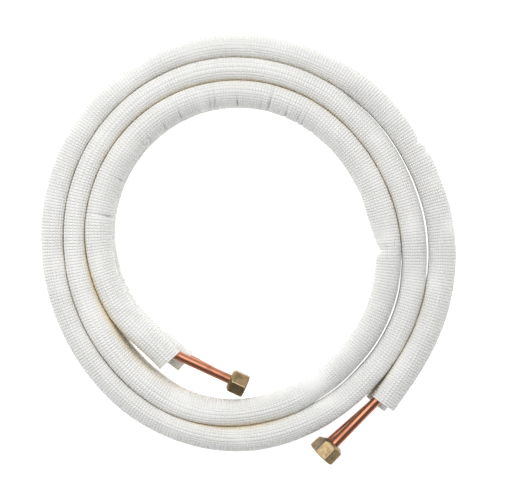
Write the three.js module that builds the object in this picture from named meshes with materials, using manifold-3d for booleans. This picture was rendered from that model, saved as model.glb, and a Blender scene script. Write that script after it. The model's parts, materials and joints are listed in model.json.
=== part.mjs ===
// Mini split line set: a thick suction line lying on a thin liquid line, both copper tubes in
// foam jackets, wound together into one flat coil. Each of the four tube ends is flared and
// carries a brass flare nut. Millimetres, +Z up. Seen from above, the coil winds clockwise
// from its inner end to its outer end.

import * as THREE from 'three';
import { mergeVertices } from 'three/addons/utils/BufferGeometryUtils.js';
import Module from 'manifold-3d';

// Departures from the coil's plain form over stretches of winding, each eased in and out: drifts of
// the tube away from the axis, pushes of the wall between two turns of the suction line, slits
// where these two turns part, and bulges of a jacket's side, outward (1) or to the axis (-1).
const stretchEase = 16;
const drifts = [
  { from: 308, to: 336, by: -2.5 },
  { from: 672, to: 700, by: 1 },
  { from: 870, to: 885, by: -1.2 },
  { from: 940, to: 975, by: 1.3 },
];
const pushes = [
  { from: 76, to: 146, by: -0.9 },
  { from: 186, to: 224, by: -0.9 },
  { from: 244, to: 290, by: 2.2 },
  { from: 400, to: 536, by: -0.7 },
  { from: 550, to: 600, by: 0.8 },
];
const slits = [
  { from: 244, to: 262, by: 1.8 },
  { from: 535, to: 608, by: 1.8 },
];
const liquidBulges = [
  { from: 40, to: 215, by: 1.6, side: -1 },
  { from: 285, to: 350, by: 0.6, side: -1 },
  { from: 930, to: 1030, by: 1.5, side: 1 },
];
const suctionBulges = [
  { from: -40, to: 12, by: -2, side: -1 },
  { from: 45, to: 225, by: 2.6, side: -1 },
  { from: 56, to: 118, by: 1.3, side: -1 },
  { from: 300, to: 352, by: 0.6, side: -1 },
  { from: 670, to: 705, by: 0.8, side: 1 },
  { from: 900, to: 916, by: 2, side: 1 },
  { from: 936, to: 1030, by: 2.6, side: 1 },
];

// The two lines: the copper tube, its foam jacket and the nut on each of its ends. A stub is
// the bare tube from the jacket's end to the open mouth of its nut. Overrun is how far this
// line's jacket reaches past the suction line's, and swing is the angle in degrees by which
// a stub is bent outward from the run of the coil.
const suction = {
  tube: 9.52,
  wall: 0.8,
  foam: 8,
  flare: 13,
  nut: { across: 22, length: 18, thread: 14.4, threadDepth: 8.5, turn: { inner: 0, outer: 10 } },
  inner: { stub: 77, overrun: 0, swing: -5.5, pull: 6.2, pullLength: 50 },
  outer: { stub: 80, overrun: 0, swing: 3, pull: 5.2, pullLength: 70 },
  pushes,
  slits,
  bulges: suctionBulges,
};
const liquid = {
  tube: 6.35,
  wall: 0.8,
  foam: 8,
  flare: 9,
  nut: { across: 17, length: 15, thread: 9.9, threadDepth: 7, turn: { inner: 8, outer: 20 } },
  inner: { stub: 65, overrun: 10, swing: 2.5, pull: 4, pullLength: 50 },
  outer: { stub: 77, overrun: 8, swing: 1, pull: 3, pullLength: 50 },
  pushes: [],
  slits: [],
  bulges: liquidBulges,
};

// The coil: angles in degrees, bearings measured from +X. The tube lies in rings about one
// axis and steps out from one ring to the next over a short arc, its first ring being
// entered part of the way through such a step. Two swells make the rings out of round.
const coil = {
  startBearing: 236.5,
  winding: 1006.5,
  ringRadius: 149,
  squeeze: 1.7,
  pitchSwing: 2.3,
  looseBearing: -12,
  steps: [{ from: -23, to: 68 }, { from: 281, to: 358 }, { from: 632, to: 728 }],
  swells: [{ lobes: 1, height: 6.6, crest: -159 }, { lobes: 2, height: 5.5, crest: -65 }],
  lean: { x: 3.5, y: -0.75 },
};

// How much fatter than round the foam may be squeezed where two turns press on each other.
const fattening = 1.2;

// Clearances: between two touching solids, and around the tube in its foam and in its nut.
const touchGap = 0.3;
const boreGap = 0.55;
const nutGap = 0.35;

// How steeply a pull to the side dies away along the jacket: the power of the nearness.
const pullFade = 3;

// Nut form: the share of the hexagon's width that is left flat at each end, the slope of the
// corner chamfers, and the countersink at the mouth.
const mouthFace = 0.95;
const shoulderFace = 0.8;
const mouthSlope = 30;
const shoulderSlope = 40;
const countersink = 0.5;
const seatSlope = 45;

// Faceting: sides of a jacket, of a tube and of a turned nut, degrees of coil between the
// rings of points, and the same near a jacket's end. Past the end of a neighbouring turn the
// foam springs back over the release arc, and a slope is taken over one probe each way.
const jacketSides = 12;
const tubeSides = 8;
const nutSides = 18;
const ringStep = 15;
const endStep = 5;
const endArc = 30;
const releaseArc = 30;
const slopeProbe = 0.5;
const stubLead = 8;
const hexSides = 6;

const fullTurn = 360;
const up = new THREE.Vector3(0, 0, 1);
const radians = THREE.MathUtils.degToRad;
const jacketRadius = (line) => line.tube / 2 + line.foam;
const boreRadius = (line) => line.tube / 2 + boreGap;
const ringPitch = 2 * jacketRadius(suction) - coil.squeeze;

const foamMaterial = new THREE.MeshStandardMaterial({ color: 0xf3f3ec, roughness: 0.85, metalness: 0 });
const copperMaterial = new THREE.MeshStandardMaterial({ color: 0xb9724a, roughness: 0.28, metalness: 1 });
const brassMaterial = new THREE.MeshStandardMaterial({ color: 0xc2a35c, roughness: 0.32, metalness: 1 });

// What a list of stretches adds at a winding angle.
const sumOf = (stretches, winding) => stretches.reduce((sum, { from, to, by }) => sum
  + by * THREE.MathUtils.smoothstep(winding, from - stretchEase, from + stretchEase)
  * (1 - THREE.MathUtils.smoothstep(winding, to - stretchEase, to + stretchEase)), 0);

// Distance from the coil's axis to the middle of the tube, at a winding angle from its start.
function coilRadius(winding) {
  const bearing = coil.startBearing - winding;
  const pitch = ringPitch + coil.pitchSwing * Math.cos(radians(bearing - coil.looseBearing));
  const ring = coil.steps.reduce(
    (passed, step) => passed + THREE.MathUtils.smoothstep(winding, step.from, step.to), -1);
  const swell = coil.swells.reduce(
    (sum, { lobes, height, crest }) => sum + height * Math.cos(lobes * radians(bearing - crest)), 0);
  return coil.ringRadius + ring * pitch + swell + sumOf(drifts, winding);
}

// Winding angle that a length of tube takes up at a given place in the coil.
const arcAngle = (length, winding) => THREE.MathUtils.radToDeg(length / coilRadius(winding));

// First and last winding angle of a line's jacket.
function jacketReach(line) {
  return {
    first: -arcAngle(line.inner.overrun, 0),
    last: coil.winding + arcAngle(line.outer.overrun, coil.winding),
  };
}

// Near its ends the jacket springs straight while the tube in it keeps to the coil, so the
// tube comes to lie against the side of the jacket that faces the coil's axis.
function pullAside(line, winding) {
  const { first, last } = jacketReach(line);
  const nearness = (angle, end) => Math.max(0, 1 - angle / arcAngle(end.pullLength, winding));
  return line.inner.pull * nearness(winding - first, line.inner) ** pullFade
    + line.outer.pull * nearness(last - winding, line.outer) ** pullFade;
}

// Middle of the jacket, in the plane of the coil.
function jacketMiddle(line, winding) {
  const bearing = radians(coil.startBearing - winding);
  const radius = coilRadius(winding) + pullAside(line, winding);
  return new THREE.Vector3(radius * Math.cos(bearing), radius * Math.sin(bearing), 0);
}

// A station is a place on the line: the middle of the jacket, the middle of the tube, and the
// level direction square to the jacket that points away from the coil's axis.
function station(line, winding) {
  const ahead = jacketMiddle(line, winding + slopeProbe).sub(jacketMiddle(line, winding - slopeProbe));
  const side = new THREE.Vector3().crossVectors(up, ahead).normalize();
  const middle = jacketMiddle(line, winding);
  const tube = middle.clone().addScaledVector(side, -pullAside(line, winding));
  return { winding, middle, side, tube };
}

// Winding angles of a jacket's rings of points: shared by both lines, and closer at the ends.
function jacketWindings(line) {
  const { first, last } = jacketReach(line);
  const angles = [first];
  const nearEnd = (angle) => angle < endArc || angle > coil.winding - endArc;
  for (let angle = Math.ceil(first / endStep) * endStep; angle < last; angle += endStep) {
    const wanted = nearEnd(angle) || angle % ringStep === 0;
    if (wanted && angle - first > endStep / 2 && last - angle > endStep / 2) angles.push(angle);
  }
  angles.push(last);
  return angles;
}

// Half width of a jacket towards one side: the foam gives way where the next turn is closer
// than the jacket is wide, and springs back past the end of that turn.
function jacketHalfWidth(line, winding, outward) {
  const round = jacketRadius(line);
  const free = round + sumOf(line.bulges.filter(({ side }) => side === outward), winding);
  const next = winding + outward * fullTurn;
  const { first, last } = jacketReach(line);
  const past = Math.max(first - next, next - last, 0);
  const nearest = THREE.MathUtils.clamp(next, first, last) - outward * fullTurn;
  const distance = Math.abs(coilRadius(nearest + outward * fullTurn) - coilRadius(nearest));
  const wall = outward > 0 ? nearest : nearest - fullTurn;
  const room = (distance - touchGap) / 2 + outward * sumOf(line.pushes, wall);
  const squeezed = Math.min(round + fattening - sumOf(line.slits, wall), room);
  return THREE.MathUtils.lerp(squeezed, free, THREE.MathUtils.smoothstep(past, 0, releaseArc));
}

// One ring of points about a middle, with its flats, not its corners, level and upright.
function ringOfPoints(middle, side, sides, halfOut, halfIn, halfHeight) {
  const corner = Math.cos(Math.PI / sides);
  return Array.from({ length: sides }, (_, i) => {
    const angle = (i + 0.5) * 2 * Math.PI / sides;
    const across = Math.cos(angle) * (Math.cos(angle) > 0 ? halfOut : halfIn) / corner;
    return middle.clone().addScaledVector(side, across)
      .addScaledVector(up, Math.sin(angle) * halfHeight / corner);
  });
}

// Skin through a closed loop of rings: out along the outside, back along the bore.
function skinOfRings(rings) {
  const sides = rings[0].length;
  const positions = rings.flat().flatMap((point) => point.toArray());
  const index = [];
  rings.forEach((_, r) => {
    for (let i = 0; i < sides; i += 1) {
      const a = r * sides + i;
      const b = r * sides + (i + 1) % sides;
      const c = ((r + 1) % rings.length) * sides + i;
      const d = ((r + 1) % rings.length) * sides + (i + 1) % sides;
      index.push(a, b, d, a, d, c);
    }
  });
  const geometry = new THREE.BufferGeometry();
  geometry.setAttribute('position', new THREE.Float32BufferAttribute(positions, 3));
  geometry.setIndex(index);
  geometry.computeVertexNormals();
  return geometry;
}

// Foam jacket of a line, with a bore that follows the tube.
function jacketGeometry(line) {
  const stations = jacketWindings(line).map((winding) => station(line, winding));
  const bore = boreRadius(line);
  const outside = stations.map(({ winding, middle, side }) => ringOfPoints(
    middle, side, jacketSides, jacketHalfWidth(line, winding, 1), jacketHalfWidth(line, winding, -1),
    jacketRadius(line)));
  const inside = stations.map(({ tube, side }) => ringOfPoints(tube, side, jacketSides, bore, bore, bore));
  return skinOfRings([...outside, ...inside.reverse()]);
}

// The bare stub at one end of a line: where it starts, which way it runs and where it ends.
function stubOf(line, end) {
  const { first, last } = jacketReach(line);
  const leaving = end === 'inner' ? -1 : 1;
  const winding = end === 'inner' ? first : last;
  const start = station(line, winding).tube;
  const behind = station(line, winding - leaving * slopeProbe).tube;
  const direction = start.clone().sub(behind).normalize();
  direction.applyAxisAngle(up, leaving * radians(line[end].swing));
  const mouth = start.clone().addScaledVector(direction, line[end].stub);
  return { start, direction, mouth };
}

// Heights in a nut, measured from its mouth: the cone that the flare is clamped on.
function nutSeat(line) {
  const slope = Math.tan(radians(seatSlope));
  const boreR = line.tube / 2 + nutGap;
  const coneEnd = line.nut.threadDepth + (line.nut.thread / 2 - boreR) / slope;
  const lift = nutGap / Math.sin(radians(seatSlope));
  const depthAt = (radius) => coneEnd - (radius - boreR) / slope - lift;
  return { boreR, coneEnd, flareEnd: depthAt(line.flare / 2), flareStart: depthAt(line.tube / 2) };
}

// Copper tube of a line: flared end, straight stub, coil, straight stub, flared end.
function tubeGeometry(line) {
  const outerR = line.tube / 2;
  const seat = nutSeat(line);
  const places = [];

  const addStub = (end) => {
    const { start, direction, mouth } = stubOf(line, end);
    const side = new THREE.Vector3().crossVectors(up, direction).normalize();
    if (end === 'inner') side.negate();
    const at = (middle, radius) => ({ middle, side, radius, stretch: 1 });
    const rings = [
      at(start.clone().addScaledVector(direction, stubLead), outerR),
      at(mouth.clone().addScaledVector(direction, -seat.flareStart), outerR),
      at(mouth.clone().addScaledVector(direction, -seat.flareEnd), line.flare / 2),
    ];
    places.push(...(end === 'inner' ? rings.reverse() : rings));
  };

  addStub('inner');
  jacketWindings(line).forEach((winding) => {
    const { tube, side } = station(line, winding);
    const ahead = station(line, winding + slopeProbe).tube.sub(station(line, winding - slopeProbe).tube);
    const stretch = 1 / Math.abs(ahead.normalize().cross(side).z);
    places.push({ middle: tube, side, radius: outerR, stretch });
  });
  addStub('outer');

  const corner = Math.cos(Math.PI / tubeSides);
  const rings = (inset) => places.map(({ middle, side, radius, stretch }) => {
    const half = (radius - inset) * corner;
    return ringOfPoints(middle, side, tubeSides, half * stretch, half * stretch, half);
  });
  return skinOfRings([...rings(0), ...rings(line.wall).reverse()]);
}

const wasm = await Module();
wasm.setup();

// A closed three.js geometry as a solid that can be cut.
function solidOf(geometry) {
  const bare = geometry.clone();
  Object.keys(bare.attributes).filter((name) => name !== 'position')
    .forEach((name) => bare.deleteAttribute(name));
  const merged = mergeVertices(bare);
  return new wasm.Manifold(new wasm.Mesh({
    numProp: 3,
    vertProperties: new Float32Array(merged.attributes.position.array),
    triVerts: new Uint32Array(merged.index.array),
  }));
}

// A cut solid as a three.js geometry again.
function geometryOf(solid) {
  const mesh = solid.getMesh();
  const geometry = new THREE.BufferGeometry();
  geometry.setAttribute('position', new THREE.Float32BufferAttribute(mesh.vertProperties, 3));
  geometry.setIndex(Array.from(mesh.triVerts));
  return geometry;
}

// Flare nut, its mouth at the origin and its tube side up +Z: a hexagonal bar cut by the
// turned form of its chamfers, threaded mouth, flare seat and tube bore.
function nutGeometry(line) {
  const { across, length, thread, threadDepth } = line.nut;
  const hexCorner = across / 2 / Math.cos(Math.PI / hexSides);
  const outside = hexCorner + countersink;
  const { boreR, coneEnd } = nutSeat(line);
  const mouthR = mouthFace * across / 2;
  const shoulderR = shoulderFace * across / 2;
  const turned = new THREE.LatheGeometry([
    new THREE.Vector2(thread / 2 + countersink, 0),
    new THREE.Vector2(mouthR, 0),
    new THREE.Vector2(outside, (outside - mouthR) * Math.tan(radians(mouthSlope))),
    new THREE.Vector2(outside, length - (outside - shoulderR) * Math.tan(radians(shoulderSlope))),
    new THREE.Vector2(shoulderR, length),
    new THREE.Vector2(boreR, length),
    new THREE.Vector2(boreR, coneEnd),
    new THREE.Vector2(thread / 2, threadDepth),
    new THREE.Vector2(thread / 2, countersink),
    new THREE.Vector2(thread / 2 + countersink, 0),
  ], nutSides);
  turned.rotateX(Math.PI / 2);
  const bar = new THREE.CylinderGeometry(hexCorner, hexCorner, length, hexSides);
  bar.rotateX(Math.PI / 2);
  bar.translate(0, 0, length / 2);
  return geometryOf(solidOf(bar).intersect(solidOf(turned)));
}

const lineSet = new THREE.Group();

// One line of the set: its jacket and tube, with a nut on each end, at its own height.
function addLine(name, line, height, shift) {
  const group = new THREE.Group();
  group.position.set(shift.x, shift.y, height);

  const jacket = new THREE.Mesh(jacketGeometry(line), foamMaterial);
  jacket.name = `${name}_insulation`;
  const tube = new THREE.Mesh(tubeGeometry(line), copperMaterial);
  tube.name = `${name}_copper_tube`;
  group.add(jacket, tube);

  ['inner', 'outer'].forEach((end) => {
    const { direction, mouth } = stubOf(line, end);
    const nut = new THREE.Mesh(nutGeometry(line), brassMaterial);
    nut.name = `${name}_flare_nut_${end}`;
    nut.rotation.z = radians(line.nut.turn[end]);
    const seat = new THREE.Group();
    seat.position.copy(mouth);
    seat.up.copy(up);
    seat.lookAt(mouth.clone().sub(direction));
    seat.add(nut);
    group.add(seat);
  });
  lineSet.add(group);
}

addLine('liquid', liquid, jacketRadius(liquid), coil.lean);
addLine('suction', suction, 2 * jacketRadius(liquid) + touchGap + jacketRadius(suction), { x: 0, y: 0 });

// The origin is under the middle of the set, on the floor.
const box = new THREE.Box3().setFromObject(lineSet, true);
lineSet.position.set(-(box.min.x + box.max.x) / 2, -(box.min.y + box.max.y) / 2, -box.min.z);

export default lineSet;
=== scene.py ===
"""Looks of a mini split line set: twin copper lines in white foam jackets, wound in one coil.

Sizes are in millimetres and angles in degrees, as in the part's source, until a mesh is
made in metres. Seen from above, the coil winds clockwise from its inner to its outer end.
"""

import json
import logging
import math
from collections.abc import Mapping, Sequence
from dataclasses import dataclass, field
from enum import Enum
from typing import Any

import bpy
import numpy as np
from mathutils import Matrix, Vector


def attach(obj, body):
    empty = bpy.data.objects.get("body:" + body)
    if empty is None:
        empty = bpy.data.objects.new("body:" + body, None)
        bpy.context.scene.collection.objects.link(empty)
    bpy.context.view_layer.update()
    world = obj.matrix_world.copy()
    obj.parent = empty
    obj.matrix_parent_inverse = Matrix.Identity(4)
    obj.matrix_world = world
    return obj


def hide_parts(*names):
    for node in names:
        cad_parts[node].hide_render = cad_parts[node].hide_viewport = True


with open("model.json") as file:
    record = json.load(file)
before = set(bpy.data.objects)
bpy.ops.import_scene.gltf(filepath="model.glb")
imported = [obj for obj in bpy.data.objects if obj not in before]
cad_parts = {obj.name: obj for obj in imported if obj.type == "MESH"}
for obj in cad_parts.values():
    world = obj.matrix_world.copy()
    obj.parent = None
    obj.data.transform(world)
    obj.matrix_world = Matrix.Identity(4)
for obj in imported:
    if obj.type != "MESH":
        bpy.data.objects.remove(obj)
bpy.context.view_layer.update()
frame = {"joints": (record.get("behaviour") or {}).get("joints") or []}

LOG = logging.getLogger("line_set")
Array = np.ndarray
METRES_PER_MM = 0.001
FULL_TURN = 360.0
HALF_TURN = 180.0
QUARTER_TURN = 90.0
WHOLE_CIRCLE = 2.0 * math.pi
COIL_BODY = "coil"
SKIN_MAP = "skin"
SHADE_MAP = "shade"
CALM_MAP = "calm"
WEAR_MAP = "wear"


class End(Enum):
    """The two ends of a line, by the side of the coil that they leave."""

    INNER = "inner"
    OUTER = "outer"

    @property
    def leaving(self) -> int:
        """Return the sense of winding in which the line leaves the coil here."""
        return -1 if self is End.INNER else 1


class Slot(Enum):
    """Material slots of the record."""

    FOAM = "foam_jacket"
    COPPER = "copper_tube"
    BRASS = "brass_nut"


# Shader graphs


class Wire:
    """An output socket of a shader graph that takes part in plain arithmetic."""

    def __init__(self, graph: "Graph", socket: bpy.types.NodeSocket) -> None:
        """Keep the socket and the graph that it belongs to."""
        self.graph = graph
        self.socket = socket

    def output(self, name: str) -> "Wire":
        """Return another output of the same node."""
        return Wire(self.graph, self.socket.node.outputs[name])

    def __add__(self, other: "Value") -> "Wire":
        """Return the sum."""
        return self.graph.math("ADD", self, other)

    __radd__ = __add__

    def __mul__(self, other: "Value") -> "Wire":
        """Return the product."""
        return self.graph.math("MULTIPLY", self, other)

    __rmul__ = __mul__

    def __sub__(self, other: "Value") -> "Wire":
        """Return the difference."""
        return self.graph.math("SUBTRACT", self, other)

    def __rsub__(self, other: "Value") -> "Wire":
        """Return the difference with the wire as what is taken away."""
        return self.graph.math("SUBTRACT", other, self)

    def __pow__(self, other: "Value") -> "Wire":
        """Return the wire raised to a power."""
        return self.graph.math("POWER", self, other)

    def cos(self) -> "Wire":
        """Return the cosine of the wire, which is in radians."""
        return self.graph.math("COSINE", self)

    def most(self, other: "Value") -> "Wire":
        """Return the larger of the two."""
        return self.graph.math("MAXIMUM", self, other)

    def smooth(self, low: float, high: float) -> "Wire":
        """Return a smooth rise from 0 to 1 between two values of the wire.

        Args:
            low: value at which the rise starts.
            high: value at which it ends; less than low for a fall.

        Returns:
            The rise, held at 0 and 1 outside the two values.
        """
        falls = low > high
        return self.graph.node(
            "ShaderNodeMapRange",
            {"interpolation_type": "SMOOTHSTEP", "clamp": True},
            {"Value": self, "From Min": min(low, high), "From Max": max(low, high),
             "To Min": float(falls), "To Max": float(not falls)},
            "Result")


Value = Wire | float
Colour = tuple[float, float, float]


class Graph:
    """The node tree of a material or world, written as Python expressions."""

    MIX_SHARE = 0
    MIX_FIRST_COLOUR = 6
    MIX_SECOND_COLOUR = 7
    MIX_COLOUR = 2

    def __init__(self, tree: bpy.types.NodeTree) -> None:
        """Empty the tree and keep it."""
        self.tree = tree
        self.tree.nodes.clear()

    def node(self, kind: str, settings: Mapping[str, Any], sockets: Mapping[str | int, Any],
             output: str | int = 0) -> Wire:
        """Add a node.

        Args:
            kind: type of the node.
            settings: properties of the node, set before its sockets.
            sockets: a number, colour or wire for each input that isn't left as it is.
            output: the output to return.

        Returns:
            The chosen output of the new node, or its first input if it has no output.
        """
        made = self.tree.nodes.new(kind)
        for name, setting in settings.items():
            setattr(made, name, setting)
        for name, value in sockets.items():
            self.feed(made.inputs[name], value)
        return Wire(self, made.outputs[output] if made.outputs else made.inputs[0])

    def feed(self, socket: bpy.types.NodeSocket, value: Any) -> None:
        """Link a wire to an input, or set the input to a number or colour.

        Args:
            socket: the input.
            value: a wire, a number or a colour.
        """
        if isinstance(value, Wire):
            self.tree.links.new(value.socket, socket)
        elif isinstance(value, tuple) and socket.type == "RGBA":
            socket.default_value = (*value, 1.0)
        else:
            socket.default_value = value

    def math(self, operation: str, *values: Value) -> Wire:
        """Add a Math node for one operation and return its result."""
        return self.node("ShaderNodeMath", {"operation": operation}, dict(enumerate(values)))

    def mix(self, share: Value, first: Colour | Wire, second: Colour | Wire) -> Wire:
        """Blend two colours.

        Args:
            share: 0 for the first colour, 1 for the second.
            first: a colour or a wire that carries one.
            second: the other colour.

        Returns:
            The blended colour.
        """
        sockets = {self.MIX_SHARE: share, self.MIX_FIRST_COLOUR: first, self.MIX_SECOND_COLOUR: second}
        return self.node("ShaderNodeMix", {"data_type": "RGBA"}, sockets, self.MIX_COLOUR)

    def noise(self, scale: float, detail: float = 2.0, where: Wire | None = None) -> Wire:
        """Add a noise of a given scale, around 0.5.

        Args:
            scale: features per metre, or per unit of the place given.
            detail: octaves of finer noise on top.
            where: place to read it at; the object's own coordinates if left out.

        Returns:
            The noise.
        """
        place = where or self.object_place()
        return self.node("ShaderNodeTexNoise", {}, {"Vector": place, "Scale": scale, "Detail": detail}, "Fac")

    def object_place(self) -> Wire:
        """Return the object's own coordinates."""
        return self.node("ShaderNodeTexCoord", {}, {}, "Object")

    def map_place(self, layer: str) -> tuple[Wire, Wire]:
        """Return both coordinates of a UV map.

        Args:
            layer: name of the map.

        Returns:
            The first and the second coordinate.
        """
        place = self.node("ShaderNodeUVMap", {"uv_map": layer}, {})
        split = self.node("ShaderNodeSeparateXYZ", {}, {0: place}, "X")
        return split, split.output("Y")

    def join(self, x: Value, y: Value, z: Value = 0.0) -> Wire:
        """Return three values as one place."""
        return self.node("ShaderNodeCombineXYZ", {}, {0: x, 1: y, 2: z})

    def bump(self, height: Wire, distance: float) -> Wire:
        """Return a normal that follows a height, whose full range is a distance in metres."""
        return self.node("ShaderNodeBump", {}, {"Height": height, "Distance": distance, "Strength": 1.0})

    def surface(self, sockets: Mapping[str, Any]) -> None:
        """Finish the graph with one Principled surface that has these inputs."""
        shader = self.node("ShaderNodeBsdfPrincipled", {}, sockets)
        self.node("ShaderNodeOutputMaterial", {}, {"Surface": shader})


def new_material(name: str) -> tuple[bpy.types.Material, Graph]:
    """Return a new material and its empty graph.

    Args:
        name: name of the material.

    Returns:
        The material and the graph to build it with.
    """
    material = bpy.data.materials.new(name)
    material.use_nodes = True
    return material, Graph(material.node_tree)


# Finishes


@dataclass(frozen=True)
class FoamSkin:
    """White polyethylene foam whose film skin is embossed with a fine square net, with painted shade in its
    grooves and creases and painted warm bounce light in the valleys between turns.
    """

    colour: Colour = (0.95, 0.945, 0.91)
    # Painted shade: the grey that the net's grooves are darkened towards.
    groove_shade_colour: Colour = (0.72, 0.71, 0.66)
    # Painted light: the warm cream of bounce light between touching turns.
    valley_bounce_colour: Colour = (0.93, 0.82, 0.62)
    # Painted shade: the grey-lilac that creases are darkened towards.
    crease_shade_colour: Colour = (0.6, 0.59, 0.63)
    cloud_colour: Colour = (0.915, 0.915, 0.89)
    groove_sharpness: float = 3.0
    groove_shade_share: float = 0.07
    roughness: float = 0.6
    groove_depth: float = 0.00072
    rib_share: float = 0.9
    grain_depth: float = 0.00005
    glow_depth: float = 0.003
    glow_share: float = 0.2
    wobble_scale: float = 120.0
    wobble: float = 0.12
    least_pressed: float = 0.65
    press_scale: float = 22.0
    cloud_scale: float = 9.0
    grain_scale: float = 2600.0
    coarse_scale: float = 420.0

    def build(self) -> bpy.types.Material:
        """Return the material, whose net follows the map of ribs and lines.

        Returns:
            The material.
        """
        material, graph = new_material("foam_skin")
        ribs, lines = graph.map_place(SKIN_MAP)
        wobble = (graph.noise(self.wobble_scale) - 0.5) * self.wobble
        rib_groove = (0.5 - 0.5 * ((ribs + wobble) * WHOLE_CIRCLE).cos()) ** self.groove_sharpness
        line_groove = (0.5 - 0.5 * ((lines + wobble) * WHOLE_CIRCLE).cos()) ** self.groove_sharpness
        pressed = graph.noise(self.press_scale, 3.0).smooth(0.3, 0.52)
        embossed = self.least_pressed + (1.0 - self.least_pressed) * pressed
        net = rib_groove.most(line_groove) * embossed
        relief = (rib_groove * self.rib_share).most(line_groove) * embossed
        # Painted warm bounce light of the valleys and painted shade of the creases, read from the shade map.
        valley_bounce, crease_shade_share = graph.map_place(SHADE_MAP)
        smoothed = graph.map_place(CALM_MAP)[0]
        clouds = graph.noise(self.cloud_scale, 3.0).smooth(0.42, 0.75)
        clean = graph.mix(clouds, self.colour, self.cloud_colour)
        # Painted light: valleys take a painted warm bounce light, creases a painted shade.
        base = graph.mix(crease_shade_share, graph.mix(valley_bounce, clean, self.valley_bounce_colour), self.crease_shade_colour)
        grain = graph.noise(self.grain_scale, 1.0)
        coarse = graph.noise(self.coarse_scale, 2.0)
        kept = 1.0 - smoothed
        roughened = grain * self.grain_depth + coarse * (2.0 * self.grain_depth)
        height = roughened - relief * kept * self.groove_depth
        graph.surface({
            # Painted shade: the net's grooves are darkened towards the groove grey in the base colour.
            "Base Color": graph.mix(net * kept * self.groove_shade_share, base, self.groove_shade_colour),
            "Roughness": self.roughness - 0.12 * net + 0.1 * (coarse - 0.5),
            "Specular IOR Level": 0.35,
            "Subsurface Weight": self.glow_share,
            "Subsurface Radius": (1.0, 0.95, 0.85),
            "Subsurface Scale": self.glow_depth,
            "Normal": graph.bump(height, 1.0),
        })
        return material


@dataclass(frozen=True)
class FoamCut:
    """The cut edge of the foam and the bore, where its closed cells show."""

    colour: Colour = (0.9, 0.83, 0.79)
    cell_colour: Colour = (0.78, 0.72, 0.68)
    cells_per_metre: float = 1500.0
    cell_depth: float = 0.00025

    def build(self) -> bpy.types.Material:
        """Return the material.

        Returns:
            The material.
        """
        material, graph = new_material("foam_cut")
        cells = graph.node("ShaderNodeTexVoronoi", {},
                           {"Vector": graph.object_place(), "Scale": self.cells_per_metre}, "Distance")
        graph.surface({
            "Base Color": graph.mix(cells.smooth(0.2, 0.75), self.colour, self.cell_colour),
            "Roughness": 0.8,
            "Specular IOR Level": 0.3,
            "Normal": graph.bump(cells, self.cell_depth),
        })
        return material


@dataclass(frozen=True)
class BrightCopper:
    """Bright drawn copper with faint draw lines, handling marks and a little tarnish."""

    colour: Colour = (0.5, 0.215, 0.13)
    tarnish: Colour = (0.28, 0.11, 0.065)
    roughness: float = 0.24
    draw_lines: float = 90.0
    line_length: float = 12.0
    line_depth: float = 0.00002
    patch_scale: float = 70.0
    smudge_scale: float = 300.0

    def build(self) -> bpy.types.Material:
        """Return the material, whose draw lines run along the tube.

        Returns:
            The material.
        """
        material, graph = new_material("bright_copper")
        along, around = graph.map_place(SKIN_MAP)
        streaks = graph.noise(1.0, 3.0, graph.join(along * self.line_length, around * self.draw_lines))
        patches = graph.noise(self.patch_scale, 4.0)
        smudge = graph.noise(self.smudge_scale, 3.0)
        tarnished = 0.6 * patches.smooth(0.45, 0.75) + 0.25 * streaks
        graph.surface({
            "Base Color": graph.mix(tarnished, self.colour, self.tarnish),
            "Metallic": 1.0,
            "Roughness": self.roughness + 0.14 * patches.smooth(0.4, 0.8) + 0.1 * (smudge - 0.5),
            "Normal": graph.bump(streaks, self.line_depth),
        })
        return material


@dataclass(frozen=True)
class ForgedBrass:
    """Brass nut: turned and milled, dulled on its flats and brighter along its edges."""

    colour: Colour = (0.33, 0.24, 0.13)
    dull: Colour = (0.18, 0.135, 0.075)
    edge: Colour = (0.62, 0.5, 0.32)
    roughness: float = 0.3
    mark_depth: float = 0.00003
    mark_lines: float = 30.0
    patch_scale: float = 240.0
    grain_scale: float = 900.0

    def build(self) -> bpy.types.Material:
        """Return the material, whose wear follows the map of edges.

        Returns:
            The material.
        """
        material, graph = new_material("forged_brass")
        around, wear = graph.map_place(WEAR_MAP)
        patches = graph.noise(self.patch_scale, 4.0)
        grain = graph.noise(self.grain_scale, 2.0) * 2.0
        marks = graph.noise(1.0, 3.0, graph.join(around * self.mark_lines, wear, grain))
        worn = (wear * (0.4 + patches)).smooth(0.35, 0.95)
        body = graph.mix(patches.smooth(0.4, 0.75), self.colour, self.dull)
        graph.surface({
            "Base Color": graph.mix(worn * 0.7, body, self.edge),
            "Metallic": 1.0,
            "Roughness": self.roughness + 0.18 * patches.smooth(0.4, 0.8) - 0.08 * worn,
            "Normal": graph.bump(marks, self.mark_depth),
        })
        return material


@dataclass(frozen=True)
class PaleFloor:
    """Backdrop paper lit until it is plain white."""

    colour: Colour = (0.88, 0.88, 0.88)
    glow: float = 0.7

    def build(self) -> bpy.types.Material:
        """Return the material.

        Returns:
            The material.
        """
        material, graph = new_material("pale_floor")
        graph.surface({"Base Color": self.colour, "Roughness": 0.9, "Specular IOR Level": 0.0,
                       "Emission Color": (1.0, 1.0, 1.0), "Emission Strength": self.glow})
        return material


# Form of the coil


def smoothstep(value: Array, low: float, high: float) -> Array:
    """Return a smooth rise from 0 to 1 between two values."""
    share = np.clip((value - low) / (high - low), 0.0, 1.0)
    return share * share * (3.0 - 2.0 * share)


def cos_deg(angle: Array | float) -> Array:
    """Return the cosine of an angle in degrees."""
    return np.cos(np.radians(angle))


@dataclass(frozen=True)
class Step:
    """Stretch of winding over which the tube moves out from one ring to the next."""

    start: float
    stop: float


@dataclass(frozen=True)
class Swell:
    """A way in which the rings are out of round."""

    lobes: int
    height: float
    crest: float


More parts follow.
